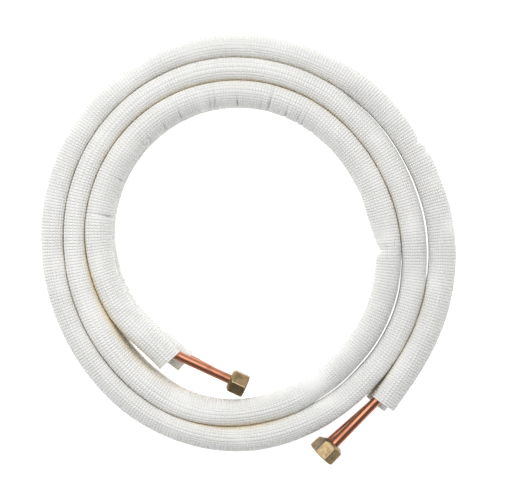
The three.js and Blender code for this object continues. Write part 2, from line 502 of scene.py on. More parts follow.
@dataclass(frozen=True)
class Coil:
    """The rings that both lines are wound in."""

    start_bearing: float = 236.5
    winding: float = 1006.5
    ring_radius: float = 149.0
    ring_pitch: float = 23.82
    pitch_swing: float = 2.3
    loose_bearing: float = -12.0
    steps: tuple[Step, ...] = (Step(-23.0, 68.0), Step(281.0, 358.0), Step(632.0, 728.0))
    swells: tuple[Swell, ...] = (Swell(1, 6.6, -159.0), Swell(2, 5.5, -65.0))

    def bearing(self, winding: Array) -> Array:
        """Return the bearing of a place in the coil."""
        return self.start_bearing - winding

    def radius(self, winding: Array) -> Array:
        """Return the distance of a place in the coil from its axis.

        Args:
            winding: places, as angles from the inner end.

        Returns:
            The distance of each place.
        """
        bearing = self.bearing(winding)
        pitch = self.ring_pitch + self.pitch_swing * cos_deg(bearing - self.loose_bearing)
        ring = sum(smoothstep(winding, step.start, step.stop) for step in self.steps) - 1.0
        swell = sum(s.height * cos_deg(s.lobes * (bearing - s.crest)) for s in self.swells)
        return self.ring_radius + ring * pitch + swell

    def arc_angle(self, length: float, winding: Array | float) -> Array:
        """Return the winding angle that a length takes up at a place in the coil."""
        return np.degrees(length / self.radius(np.asarray(winding, float)))


@dataclass(frozen=True)
class LineEnd:
    """One end of a line: its bare stub and how the jacket lies before it."""

    stub: float
    overrun: float
    swing: float
    pull: float
    pull_length: float


@dataclass(frozen=True)
class NutSizes:
    """Sizes of a flare nut and how far each of a line's two nuts is turned."""

    across: float
    length: float
    thread: float
    thread_depth: float
    thread_pitch: float
    turn: Mapping[End, float]


@dataclass(frozen=True)
class Stub:
    """Where a bare tube end starts, which way it runs and where its nut's mouth is."""

    start: Array
    direction: Array
    mouth: Array


@dataclass(frozen=True)
class Stations:
    """Places along a line: middles of the jacket and of the tube, and the way outward."""

    middle: Array
    side: Array
    tube: Array


@dataclass(frozen=True)
class Stretch:
    """A stretch of winding over which something is added, eased in and out."""

    start: float
    stop: float
    amount: float
    outward: int = 0
    ease: float = 16.0

    def at(self, winding: Array) -> Array:
        """Return what is added at each winding angle.

        Args:
            winding: places along the line.

        Returns:
            The amount, eased in and out at the stretch's ends.
        """
        rise = smoothstep(winding, self.start - self.ease, self.start + self.ease)
        fall = smoothstep(winding, self.stop - self.ease, self.stop + self.ease)
        return self.amount * rise * (1.0 - fall)


def total(stretches: Sequence[Stretch], winding: Array, outward: int = 0) -> Array:
    """Return what all the stretches of one side add at each winding angle."""
    parts = [stretch.at(winding) for stretch in stretches if stretch.outward == outward]
    return sum(parts, np.zeros_like(winding))


@dataclass(frozen=True)
class Line:
    """One of the two lines, with the sizes of its tube, jacket and nuts."""

    name: str
    tube: float
    flare: float
    nut: NutSizes
    ends: Mapping[End, LineEnd]
    height: float
    lean: tuple[float, float] = (0.0, 0.0)
    foam: float = 8.0
    wall: float = 0.8
    coil: Coil = Coil()
    drifts: tuple[Stretch, ...] = ()
    bulges: tuple[Stretch, ...] = ()
    pushes: tuple[Stretch, ...] = ()
    slits: tuple[Stretch, ...] = ()
    # Stretches where the valleys next to this line get more painted warm bounce light.
    valley_bounce_stretches: tuple[Stretch, ...] = ()

    SLOPE_PROBE = 0.5
    TOUCH_GAP = 0.1
    RELEASE_ARC = 30.0
    PULL_FADE = 3.0
    FATTENING = 2.6
    SLIT_OPENS = 1.4
    NUT_GAP = 0.35

    @property
    def jacket_radius(self) -> float:
        """Return the outer radius of the jacket."""
        return self.tube / 2.0 + self.foam

    @property
    def nut_bore(self) -> float:
        """Return the radius of the bore through the nut."""
        return self.tube / 2.0 + self.NUT_GAP

    def reach(self) -> tuple[float, float]:
        """Return the first and last winding angle of the jacket.

        Returns:
            The angle at its inner and at its outer end.
        """
        first = -self.coil.arc_angle(self.ends[End.INNER].overrun, 0.0)
        last = self.coil.winding + self.coil.arc_angle(self.ends[End.OUTER].overrun, self.coil.winding)
        return float(first), float(last)

    def pull(self, winding: Array) -> Array:
        """Return how far the jacket stands outside its tube near the ends.

        Args:
            winding: places along the line.

        Returns:
            The distance at each place, which is next to nothing away from the ends.
        """
        first, last = self.reach()
        out = np.zeros_like(winding)
        for end, angle in ((End.INNER, winding - first), (End.OUTER, last - winding)):
            size = self.ends[end]
            near = np.maximum(0.0, 1.0 - angle / self.coil.arc_angle(size.pull_length, winding))
            out += size.pull * near ** self.PULL_FADE
        return out

    def jacket_middle(self, winding: Array) -> Array:
        """Return the middle of the jacket, in the plane of the coil.

        Args:
            winding: places along the line.

        Returns:
            A point for each place.
        """
        bearing = np.radians(self.coil.bearing(winding))
        radius = self.coil.radius(winding) + self.pull(winding) + total(self.drifts, winding)
        return np.stack([radius * np.cos(bearing), radius * np.sin(bearing)], -1) + np.array(self.lean)

    def stations(self, winding: Array) -> Stations:
        """Return the places along the line at these winding angles.

        Args:
            winding: places along the line.

        Returns:
            Middles of the jacket and the tube, and the way outward at each.
        """
        before = self.jacket_middle(winding - self.SLOPE_PROBE)
        ahead = self.jacket_middle(winding + self.SLOPE_PROBE) - before
        side = np.stack([-ahead[:, 1], ahead[:, 0]], -1)
        side /= np.linalg.norm(side, axis=1, keepdims=True)
        middle = self.jacket_middle(winding)
        return Stations(middle, side, middle - side * self.pull(winding)[:, None])

    def half_width(self, winding: Array, outward: int) -> tuple[Array, Array]:
        """Return the jacket's half width towards one side, and where that side is pressed.

        Args:
            winding: places along the line.
            outward: 1 for the side away from the coil's axis, -1 for the other.

        Returns:
            The half widths, less where the next turn presses on the foam, and a share from
            0 to 1 that is 1 where it does and no slit is left.
        """
        first, last = self.reach()
        beyond = winding + outward * FULL_TURN
        past = np.maximum(np.maximum(first - beyond, beyond - last), 0.0)
        nearest = np.clip(beyond, first, last) - outward * FULL_TURN
        pair = nearest if outward > 0 else nearest - FULL_TURN
        distance = np.abs(self.full_radius(nearest + outward * FULL_TURN) - self.full_radius(nearest))
        room = distance / 2.0 + outward * total(self.pushes, pair)
        slit = total(self.slits, pair)
        loose = self.jacket_radius + self.FATTENING - slit
        squeezed = np.minimum(loose, room - self.TOUCH_GAP / 2.0)
        free = self.jacket_radius + total(self.bulges, winding, outward)
        pressed = 1.0 - smoothstep(past, 0.0, self.RELEASE_ARC)
        return free + (squeezed - free) * pressed, pressed * np.clip(1.0 - slit / self.SLIT_OPENS, 0.0, 1.0)

    def full_radius(self, winding: Array) -> Array:
        """Return the distance of the jacket's middle from the coil's axis, without its pull."""
        return self.coil.radius(winding) + total(self.drifts, winding)

    def stub(self, end: End) -> Stub:
        """Return the bare stub at one end.

        Args:
            end: the end of the line.

        Returns:
            Where it starts, its direction and its nut's mouth.
        """
        first, last = self.reach()
        winding = first if end is End.INNER else last
        pair = self.stations(np.array([winding, winding - end.leaving * self.SLOPE_PROBE])).tube
        ahead = pair[0] - pair[1]
        ahead /= np.linalg.norm(ahead)
        turn = math.radians(end.leaving * self.ends[end].swing)
        direction = np.array([ahead[0] * math.cos(turn) - ahead[1] * math.sin(turn),
                              ahead[0] * math.sin(turn) + ahead[1] * math.cos(turn)])
        return Stub(pair[0], direction, pair[0] + direction * self.ends[end].stub)

    def flare_depths(self) -> tuple[float, float]:
        """Return how deep in the nut the flare starts and how deep its rim is.

        Returns:
            Both depths, measured from the nut's mouth.
        """
        cone_end = self.nut.thread_depth + self.nut.thread / 2.0 - self.nut_bore
        lift = self.NUT_GAP * math.sqrt(2.0)
        rim = cone_end - (self.flare / 2.0 - self.nut_bore) - lift
        return cone_end - (self.tube / 2.0 - self.nut_bore) - lift, rim


DRIFTS = (Stretch(308.0, 336.0, -2.5), Stretch(672.0, 700.0, 1.0), Stretch(870.0, 885.0, -1.2),
          Stretch(940.0, 975.0, 1.3))
LIQUID = Line(
    name="liquid", tube=6.35, flare=9.0, height=11.175, lean=(3.5, -0.75), drifts=DRIFTS,
    bulges=(Stretch(40.0, 215.0, 1.6, -1), Stretch(285.0, 350.0, 0.6, -1), Stretch(930.0, 1030.0, 1.5, 1)),
    pushes=(Stretch(535.0, 596.0, 1.8),),
    slits=(Stretch(238.0, 306.0, 3.4, ease=6.0), Stretch(538.0, 608.0, 3.4, ease=6.0)),
    nut=NutSizes(across=17.0, length=15.0, thread=9.9, thread_depth=7.0, thread_pitch=1.27,
                 turn={End.INNER: 8.0, End.OUTER: 20.0}),
    ends={End.INNER: LineEnd(stub=65.0, overrun=10.0, swing=2.5, pull=4.0, pull_length=50.0),
          End.OUTER: LineEnd(stub=77.0, overrun=8.0, swing=1.0, pull=3.0, pull_length=50.0)})
SUCTION = Line(
    name="suction", tube=9.52, flare=13.0, height=35.41, drifts=DRIFTS,
    bulges=(Stretch(-40.0, 12.0, -2.0, -1), Stretch(45.0, 225.0, 2.6, -1), Stretch(56.0, 118.0, 1.3, -1),
            Stretch(218.0, 234.0, 1.6, -1, ease=5.0), Stretch(300.0, 352.0, 0.6, -1),
            Stretch(670.0, 705.0, 0.8, 1), Stretch(900.0, 916.0, 2.0, 1), Stretch(936.0, 1030.0, 2.6, 1)),
    pushes=(Stretch(76.0, 146.0, -0.9), Stretch(186.0, 224.0, -0.9), Stretch(244.0, 290.0, 2.2),
            Stretch(400.0, 536.0, -0.7), Stretch(550.0, 600.0, 0.8)),
    slits=(Stretch(238.0, 306.0, 1.4, ease=6.0), Stretch(541.0, 608.0, 1.9, ease=6.0),
           Stretch(541.0, 580.0, 0.5, ease=6.0)),
    # Stretches with extra painted warm bounce light in the valleys.
    valley_bounce_stretches=(Stretch(10.0, 60.0, 0.7), Stretch(80.0, 180.0, 0.45), Stretch(320.0, 345.0, 0.9, ease=12.0)),
    nut=NutSizes(across=22.0, length=18.0, thread=14.4, thread_depth=8.5, thread_pitch=1.411,
                 turn={End.INNER: 0.0, End.OUTER: 10.0}),
    ends={End.INNER: LineEnd(stub=77.0, overrun=0.0, swing=-5.5, pull=6.2, pull_length=50.0),
          End.OUTER: LineEnd(stub=80.0, overrun=0.0, swing=3.0, pull=5.2, pull_length=70.0)})


def frame_origin() -> Array:
    """Return the place of the coil's axis in the shared frame, found from one nut's joint."""
    joint = next(j for j in frame["joints"] if j["child"] == "suction_flare_nut_outer")
    return np.array(joint["pos_m"][:2]) / METRES_PER_MM - SUCTION.stub(End.OUTER).mouth


# Meshes


@dataclass
class Loft:
    """A closed loop of rings of points, skinned with quads.

    Rings are added one by one, each with a place in the skin's map and the number of the
    finish on the band that follows it.
    """

    name: str
    rings: list[Array] = field(default_factory=list)
    places: list[Array] = field(default_factory=list)
    shades: list[Array] = field(default_factory=list)
    finishes: list[int] = field(default_factory=list)

    def add(self, points: Array, places: Array, finish: int = 0, shades: Array | None = None) -> None:
        """Add one ring or a block of rings.

        Args:
            points: the points of each ring, in millimetres.
            places: the map coordinates of each ring, one more than its points.
            finish: the number of the finish on the bands that follow.
            shades: both coordinates in the map of shades, then in the map of calm skin; zero if
                left out.
        """
        self.rings.append(points)
        self.places.append(places)
        self.shades.append(np.zeros((*places.shape[:-1], 4)) if shades is None else shades)
        self.finishes.extend([finish] * len(points))

    def build(self, origin: Array, layer: str, materials: Sequence[bpy.types.Material],
              sharp_angle: float) -> bpy.types.Object:
        """Make the object.

        Args:
            origin: place of the coil's axis in the shared frame.
            layer: name of the UV map.
            materials: the finishes, in the order of their numbers.
            sharp_angle: angle between faces, above which an edge is drawn sharp.

        Returns:
            The object, linked to the scene.
        """
        points = np.concatenate(self.rings)
        places = np.concatenate(self.places)
        count, sides = points.shape[:2]
        ring = np.arange(count)[:, None]
        corner = np.arange(sides)[None, :]
        after = (ring + 1) % count
        beside = (corner + 1) % sides
        faces = np.stack([ring * sides + corner, ring * sides + beside,
                          after * sides + beside, after * sides + corner], -1).reshape(-1, 4)
        flat = points.reshape(-1, 3).copy()
        flat[:, :2] += origin
        mesh = bpy.data.meshes.new(self.name)
        mesh.from_pydata(flat * METRES_PER_MM, [], faces)
        shades = np.concatenate(self.shades)
        for name, values in ((layer, places), (SHADE_MAP, shades[..., :2]), (CALM_MAP, shades[..., 2:])):
            uv = np.stack([values[ring, corner], values[ring, corner + 1],
                           values[after, corner + 1], values[after, corner]], 2)
            mesh.uv_layers.new(name=name).data.foreach_set("uv", uv.astype(np.float32).ravel())
        for material in materials:
            mesh.materials.append(material)
        bands = np.repeat(np.array(self.finishes, np.int32), sides)
        mesh.polygons.foreach_set("material_index", bands)
        mesh.polygons.foreach_set("use_smooth", np.ones(len(faces), bool))
        mesh.update()
        mesh.set_sharp_from_angle(angle=math.radians(sharp_angle))
        made = bpy.data.objects.new(self.name, mesh)
        bpy.context.scene.collection.objects.link(made)
        return made


def settle(piece: bpy.types.Object, body: str, node: str) -> None:
    """Let a finished piece ride on its body and stand for its node.

    Args:
        piece: the finished piece.
        body: the body that it moves with.
        node: the node of the solids that it replaces.
    """
    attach(piece, body)
    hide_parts(node)
    piece.data.calc_loop_triangles()
    LOG.info("%s: %d triangles on %s", piece.name, len(piece.data.loop_triangles), body)


@dataclass(frozen=True)
class Dent:
    """A place where the foam is pressed in, or stands out if its depth is negative.

    It is given by its winding angle, the direction that it faces round the jacket, with 0
    outward and 90 up, and how far it spreads each way along the line and round the jacket.
    """

    winding: float
    facing: float
    depth: float
    lead: float
    tail: float
    spread: float
    slant: float = 0.0
    sharpness: float = 2.0
    smooths_ribs: float = 0.0
    # Share of painted shade that darkens the skin at the dent's middle.
    shade: float = 0.0

    def cover(self, along: Array, middle: float, angle: Array) -> Array:
        """Return how much of the dent's depth each point has.

        Args:
            along: distance of each ring along the line.
            middle: distance of the dent along the line.
            angle: direction of each point round the jacket.

        Returns:
            A share from 0 to 1 for each ring and point.
        """
        turn = (angle - self.facing + HALF_TURN) % FULL_TURN - HALF_TURN
        offset = along - middle - self.slant * turn / QUARTER_TURN
        reach = np.where(offset < 0.0, self.lead, self.tail)
        share = np.exp(-np.abs(offset / reach) ** self.sharpness)
        return share * np.exp(-(turn / self.spread) ** 2)


CREASE_REACH = 1.15
# Painted shade in a crease, for each millimetre of its depth.
CREASE_SHADE = 0.42


def crease(bearing: float, depth: float, slant: float = 0.0, facing: float = 162.0,
           spread: float = 40.0) -> Dent:
    """Return a narrow crease on the inner side of the innermost turn.

    Args:
        bearing: direction from the coil's axis.
        depth: how deep the crease is.
        slant: how far it runs along the line over a quarter turn round the jacket.
        facing: direction round the jacket.
        spread: how far it reaches round the jacket.

    Returns:
        The crease.
    """
    winding = Coil().start_bearing - bearing
    return Dent(winding, facing, depth, lead=CREASE_REACH, tail=CREASE_REACH, spread=spread, slant=slant,
                smooths_ribs=0.3, shade=CREASE_SHADE * depth)


LOWER_DENTS = (
    Dent(239.8, 178.0, 5.4, lead=9.0, tail=4.0, spread=60.0, slant=2.0, sharpness=1.1, smooths_ribs=0.8),
)
UPPER_DENTS = (
    crease(177.0, 1.0), crease(169.5, 2.6, -1.0, 140.0, 48.0), crease(154.0, 2.0), crease(141.0, 1.2, 1.0),
    crease(137.0, 1.2), crease(133.3, 1.6, 0.0, 175.0), crease(125.5, 2.2, -1.0), crease(117.8, 2.4, 1.0),
    crease(105.0, 1.8, -3.0, 140.0), crease(103.0, 2.2, -2.5, 140.0), crease(93.8, 3.2, 1.0),
    crease(84.0, 1.8), crease(80.8, 2.8, -1.0, 130.0, 50.0), crease(73.0, 2.8), crease(67.6, 2.0),
    crease(65.0, 1.8, 1.0), crease(59.6, 1.2),
    Dent(128.5, 165.0, -0.9, lead=4.0, tail=4.0, spread=40.0, smooths_ribs=1.0),
    # The kink's dents carry painted shade as well as their depth.
    Dent(239.6, 178.0, 7.2, lead=6.5, tail=3.2, spread=50.0, slant=2.0, sharpness=1.2, smooths_ribs=0.8,
         shade=0.25),
    Dent(233.0, 135.0, 1.6, lead=7.0, tail=7.0, spread=50.0, smooths_ribs=1.0, shade=0.35),
    Dent(925.8, 8.0, 2.8, lead=6.5, tail=2.0, spread=46.0, slant=-1.0, sharpness=1.4, smooths_ribs=0.3),
    Dent(930.5, 6.0, -2.2, lead=2.5, tail=14.0, spread=50.0, smooths_ribs=0.3),
    Dent(952.0, 40.0, 0.4, lead=9.0, tail=9.0, spread=45.0, smooths_ribs=0.85),
    Dent(300.0, 100.0, 0.5, lead=12.0, tail=12.0, spread=60.0, smooths_ribs=0.5),
    Dent(590.0, 70.0, 0.4, lead=14.0, tail=10.0, spread=50.0, smooths_ribs=0.4),
)


@dataclass(frozen=True)
class Jacket:
    """Foam jacket of a line: ribbed skin, cut ends, and a bore that follows the tube."""

    line: Line
    lines_round: int
    dents: tuple[Dent, ...] = ()
    seed: int = 11
    rib_pitch: float = 2.95
    rib_height: float = 0.22
    rib_fullness: float = 0.6
    rings_per_rib: int = 4
    sides: int = 22
    crowding: float = 5.0
    bore_gap: float = 0.55
    bore_rings: int = 200
    bevel: float = 0.5
    unevenness: float = 0.22
    waves: int = 7
    mouth_slack: float = 2.6
    flat_round: float = 0.8
    squareness: float = 0.35
    fullness: float = 2.0
    # Painted warm bounce light on the pressed sides where turns touch.
    valley_bounce_share: float = 0.3

    SURVEY_STEP = 0.05
    BEVEL_RISE = 0.35
    CAP_SHARE = 0.55
    MOUTH_RISE = 0.25
    WAVE_LENGTHS = (24.0, 150.0)
    CAP_DIP = (-0.25, 0.05)
    VALLEY_SINES = (0.95, 0.62)

    def survey(self) -> tuple[Array, Array]:
        """Return closely spaced winding angles and their distances along the line.

        Returns:
            The angles and the distances, from the inner end on.
        """
        first, last = self.line.reach()
        winding = np.linspace(first, last, int((last - first) / self.SURVEY_STEP))
        middle = self.line.jacket_middle(winding)
        steps = np.linalg.norm(np.diff(middle, axis=0), axis=1)
        return winding, np.concatenate([[0.0], np.cumsum(steps)])

    def ring_angles(self) -> Array:
        """Return the directions of a ring's points, with 0 outward, crowded where turns meet."""
        angle = (np.arange(self.sides) + 0.5) * FULL_TURN / self.sides - QUARTER_TURN
        return angle + self.crowding * np.sin(4.0 * np.radians(angle))

    def points(self, winding: Array, middle: Array, radii: tuple[Array, Array, Array], extra: Array,
               pressed: tuple[Array, Array] | None = None) -> Array:
        """Return rings of points about middles in the plane of the coil.

        Args:
            winding: place of each ring along the line.
            middle: middle of each ring.
            radii: half widths outward and inward and half height of each ring.
            extra: what is added to the radius at each point.
            pressed: share from 0 to 1 by which the outward and the inward side are pressed.

        Returns:
            The points, ring by ring.
        """
        out, inside, tall = radii
        angle = np.radians(self.ring_angles())[None, :]
        outward = np.cos(angle) > 0.0
        limit = np.where(outward, out[:, None], inside[:, None])
        press = np.zeros_like(limit)
        if pressed:
            press = np.where(outward, pressed[0][:, None], pressed[1][:, None])
        wide = np.maximum(tall[:, None], limit) + extra + self.fullness * press
        free = np.abs(np.cos(angle)) ** (1.0 - self.squareness * press) * wide
        limit = limit + np.minimum(extra, 0.0)
        near = np.maximum(self.flat_round - np.abs(free - limit), 0.0) / self.flat_round
        across = np.sign(np.cos(angle)) * (np.minimum(free, limit) - near ** 2 * self.flat_round / 4.0)
        rise = np.sin(angle) * (tall[:, None] + extra)
        side = self.line.stations(winding).side
        flat = middle[:, None, :] + side[:, None, :] * across[:, :, None]
        return np.concatenate([flat, self.line.height + rise[:, :, None]], -1)

    def relief(self, along: Array, survey: tuple[Array, Array], ribs: Array) -> tuple[Array, Array, Array]:
        """Return how far the skin stands proud of or below the jacket's form.

        Args:
            along: distance of each ring along the line.
            survey: winding angles and distances along the line.
            ribs: place of each ring in ribs.

        Returns:
            The relief of each point in millimetres, its share of painted shade in a crease, and
            how far the net is missing there.
        """
        angle = self.ring_angles()[None, :]
        place = along[:, None]
        smooth_skin = np.zeros((len(along), self.sides))
        form = np.zeros((len(along), self.sides))
        painted_crease_shade = np.zeros((len(along), self.sides))
        for dent in self.dents:
            middle = float(np.interp(dent.winding, survey[0], survey[1]))
            share = dent.cover(place, middle, angle)
            form -= dent.depth * share
            smooth_skin = np.maximum(smooth_skin, share * dent.smooths_ribs)
            # Painted shade: each dent darkens the skin by its shade, most at its middle.
            painted_crease_shade = np.maximum(painted_crease_shade, share ** 2 * dent.shade)
        chance = np.random.default_rng(self.seed)
        for _ in range(self.waves):
            length = chance.uniform(*self.WAVE_LENGTHS)
            turns = chance.integers(0, 4)
            phase = chance.uniform(0.0, WHOLE_CIRCLE)
            wave = np.cos(WHOLE_CIRCLE * place / length + turns * np.radians(angle) + phase)
            form += self.unevenness / self.waves * (wave - 1.0)
        pillow = np.abs(np.cos(math.pi * ribs)) ** self.rib_fullness
        return form + self.rib_height * (pillow[:, None] - 1.0) * (1.0 - smooth_skin), painted_crease_shade, smooth_skin

    def shades(self, winding: Array, pressed: tuple[Array, Array], painted_crease_shade: Array, calm: Array) -> Array:
        """Return the shade maps of the outside.

        Args:
            winding: place of each ring along the line.
            pressed: how far the outward and the inward side are pressed.
            painted_crease_shade: share of painted shade at each point in a crease.
            calm: how far the net is missing at each point.

        Returns:
            Painted warm bounce light of the valley, painted shade of creases, calm and zero, for
            each point and once more for the first one.
        """
        angle = np.radians(self.ring_angles())[None, :]
        deep = smoothstep(np.abs(np.sin(angle)), *self.VALLEY_SINES)
        # Painted warm bounce light on each pressed side, near where the turns touch.
        bounce_tints = [smoothstep(share, 0.7, 1.0) * (self.valley_bounce_share + total(self.line.valley_bounce_stretches, place))
                for share, place in zip(pressed, (winding, winding - FULL_TURN))]
        valley_bounce = deep * np.where(np.cos(angle) > 0.0, bounce_tints[0][:, None], bounce_tints[1][:, None])
        values = np.stack([valley_bounce, painted_crease_shade, calm, np.zeros_like(painted_crease_shade)], -1)
        return np.concatenate([values, values[:, :1]], 1)

    def build(self, origin: Array, skin: bpy.types.Material, cut: bpy.types.Material) -> bpy.types.Object:
        """Make the jacket and settle it in the frame.

        Args:
            origin: place of the coil's axis in the shared frame.
            skin: finish of the outside.
            cut: finish of the ends and the bore.

        Returns:
            The finished piece.
        """
        line = self.line
        survey = self.survey()
        length = survey[1][-1]
        rib_count = round(length / self.rib_pitch)
        ribs = np.arange(rib_count * self.rings_per_rib + 1) / self.rings_per_rib
        along = ribs * length / rib_count
        winding = np.interp(along, survey[1], survey[0])
        out, pressed_out = line.half_width(winding, 1)
        inward, pressed_in = line.half_width(winding, -1)
        pressed = (pressed_out, pressed_in)
        radii = (out, inward, np.full(len(winding), line.jacket_radius))
        form, painted_crease_shade, calm = self.relief(along, survey, ribs)
        outside = self.points(winding, line.stations(winding).middle, radii, form, pressed)
        shades = self.shades(winding, pressed, painted_crease_shade, calm)
        loft = Loft(f"{line.name}_insulation_skin")
        angles = self.ring_angles()
        columns = np.append(angles, angles[0] + FULL_TURN) * self.lines_round / FULL_TURN
        places = np.stack(np.broadcast_arrays(ribs[:, None], columns[None, :]), -1)
        loft.add(outside[:-1], places[:-1], 0, shades[:-1])
        loft.add(outside[-1:], places[-1:], 1)

        bore_winding = np.linspace(winding[-1], winding[0], self.bore_rings)
        bore = line.tube / 2.0 + self.bore_gap
        slack = self.mouth_slack * (line.pull(bore_winding) / line.ends[End.INNER].pull) ** 2
        bore_radii = (bore + slack, np.full(self.bore_rings, bore), bore + self.MOUTH_RISE * slack)
        tube = line.stations(bore_winding).tube
        inside = self.points(bore_winding, tube, bore_radii, np.zeros((self.bore_rings, self.sides)))
        for last, rim, well in ((True, outside[-1], inside[0]), (False, outside[0], inside[-1])):
            shoulder = self.cap(rim, well, winding[-1] if last else winding[0], last)
            if last:
                loft.add(shoulder, np.repeat(places[-1:], len(shoulder), 0), 1)
                loft.add(inside, np.repeat(places[-1:], len(inside), 0), 1)
            else:
                loft.add(shoulder[::-1], np.repeat(places[:1], len(shoulder), 0), 1)
        piece = loft.build(origin, SKIN_MAP, (skin, cut), sharp_angle=50.0)
        settle(piece, COIL_BODY, f"{line.name}_insulation")
        return piece

    def cap(self, rim: Array, well: Array, winding: float, last: bool) -> Array:
        """Return the rings of one cut end, from its rim to the bore.

        Args:
            rim: the last ring of the outside.
            well: the first ring of the bore.
            winding: winding angle of the end.
            last: whether it is the outer end of the line.

        Returns:
            Two rings: one inside the bevelled rim and one half way to the bore.
        """
        chance = np.random.default_rng(self.seed + int(last))
        inward = well - rim
        inward /= np.linalg.norm(inward, axis=1, keepdims=True)
        side = self.line.stations(np.array([winding])).side[0]
        out = np.array([side[1], -side[0], 0.0]) * (1.0 if last else -1.0)
        bevelled = rim + inward * self.bevel + out * self.bevel * self.BEVEL_RISE
        dip = chance.uniform(*self.CAP_DIP, (self.sides, 1))
        halfway = rim + self.CAP_SHARE * (well - rim) + out * (self.bevel * self.BEVEL_RISE + dip)
        return np.stack([bevelled, halfway])


@dataclass(frozen=True)
class CopperTube:
    """Bare copper tube of a line, from one flared end through the coil to the other."""

    line: Line
    sides: int = 28
    coil_step: float = 5.0
    stub_step: float = 2.5
    blend_length: float = 9.0
    blend_rings: int = 6
    flare_rings: int = 5
    ripple: float = 0.04
    ripples: int = 4
    seed: int = 5

    OUTER_EASE = 0.7
    FLARE_CURVE = 1.3
    MAP_PER_MM = 0.01
    RIPPLE_LENGTHS = (3.0, 14.0)

    def path(self) -> tuple[Array, Array]:
        """Return the middles of the tube's rings and the tube's outer radius at each.

        Returns:
            The middles, from the inner to the outer end, and the radii.
        """
        line = self.line
        first, last = line.reach()
        ease = float(line.coil.arc_angle(self.blend_length, 0.0))
        steps = int((last - first) * math.radians(line.coil.ring_radius) / self.coil_step)
        winding = np.linspace(first + ease, last - ease * self.OUTER_EASE, steps)
        coil_part = line.stations(winding).tube
        inner = self.stub_part(End.INNER, coil_part[0], coil_part[0] - coil_part[1])
        outer = self.stub_part(End.OUTER, coil_part[-1], coil_part[-1] - coil_part[-2])
        middles = np.concatenate([inner[0][::-1], coil_part, outer[0]])
        radii = np.concatenate([inner[1][::-1], np.full(len(coil_part), line.tube / 2.0), outer[1]])
        return middles, radii

    def stub_part(self, end: End, leave: Array, slope: Array) -> tuple[Array, Array]:
        """Return middles and radii from where the tube leaves the coil to its rim.

        Args:
            end: the end of the line.
            leave: last middle in the coil.
            slope: direction of the tube there.

        Returns:
            The middles and the outer radii, in order from the coil.
        """
        line = self.line
        stub = line.stub(end)
        joined = stub.start + stub.direction * self.blend_length
        span = float(np.linalg.norm(joined - leave))
        share = np.arange(1, self.blend_rings)[:, None] / self.blend_rings
        bend = ((2 * share ** 3 - 3 * share ** 2 + 1) * leave
                + (share ** 3 - 2 * share ** 2 + share) * slope / np.linalg.norm(slope) * span
                + (3 * share ** 2 - 2 * share ** 3) * joined
                + (share ** 3 - share ** 2) * stub.direction * span)
        depth_start, depth_rim = line.flare_depths()
        straight = line.ends[end].stub - depth_start
        run = np.linspace(self.blend_length, straight, int((straight - self.blend_length) / self.stub_step))
        cone = np.linspace(0.0, 1.0, self.flare_rings)[1:]
        flare_run = straight + cone * (depth_start - depth_rim)
        flare_radii = line.tube / 2.0 + cone ** self.FLARE_CURVE * (line.flare - line.tube) / 2.0
        reach = np.concatenate([run, flare_run])[:, None]
        middles = np.concatenate([bend, stub.start + stub.direction * reach])
        radii = np.concatenate([np.full(len(bend) + len(run), line.tube / 2.0), flare_radii])
        return middles, radii

    def build(self, origin: Array, finish: bpy.types.Material) -> bpy.types.Object:
        """Make the tube and settle it in the frame.

        Args:
            origin: place of the coil's axis in the shared frame.
            finish: material of the tube.

        Returns:
            The finished piece.
        """
        middles, radii = self.path()
        slope = np.gradient(middles, axis=0)
        side = np.stack([-slope[:, 1], slope[:, 0]], -1)
        side /= np.linalg.norm(side, axis=1, keepdims=True)
        along = np.concatenate([[0.0], np.cumsum(np.linalg.norm(np.diff(middles, axis=0), axis=1))])
        angle = (np.arange(self.sides) + 0.5) * FULL_TURN / self.sides - QUARTER_TURN
        chance = np.random.default_rng(self.seed)
        ripple = np.zeros_like(along)
        for _ in range(self.ripples):
            length = chance.uniform(*self.RIPPLE_LENGTHS)
            ripple += np.cos(along / length + chance.uniform(0.0, WHOLE_CIRCLE))
        uneven = self.ripple * (ripple / self.ripples - 1.0) / 2.0
        columns = np.linspace(0.0, 1.0, self.sides + 1)
        places = np.stack(np.broadcast_arrays(along[:, None] * self.MAP_PER_MM, columns[None, :]), -1)
        loft = Loft(f"{self.line.name}_copper")
        for inset, order in ((0.0, slice(None)), (self.line.wall, slice(None, None, -1))):
            radius = (radii + uneven - inset)[:, None]
            flat = middles[:, None, :] + side[:, None, :] * (cos_deg(angle)[None, :] * radius)[:, :, None]
            rise = self.line.height + radius * np.sin(np.radians(angle))[None, :]
            rings = np.concatenate([flat, rise[:, :, None]], -1)
            loft.add(rings[order], places[order])
        piece = loft.build(origin, SKIN_MAP, (finish,), sharp_angle=50.0)
        settle(piece, COIL_BODY, f"{self.line.name}_copper_tube")
        return piece


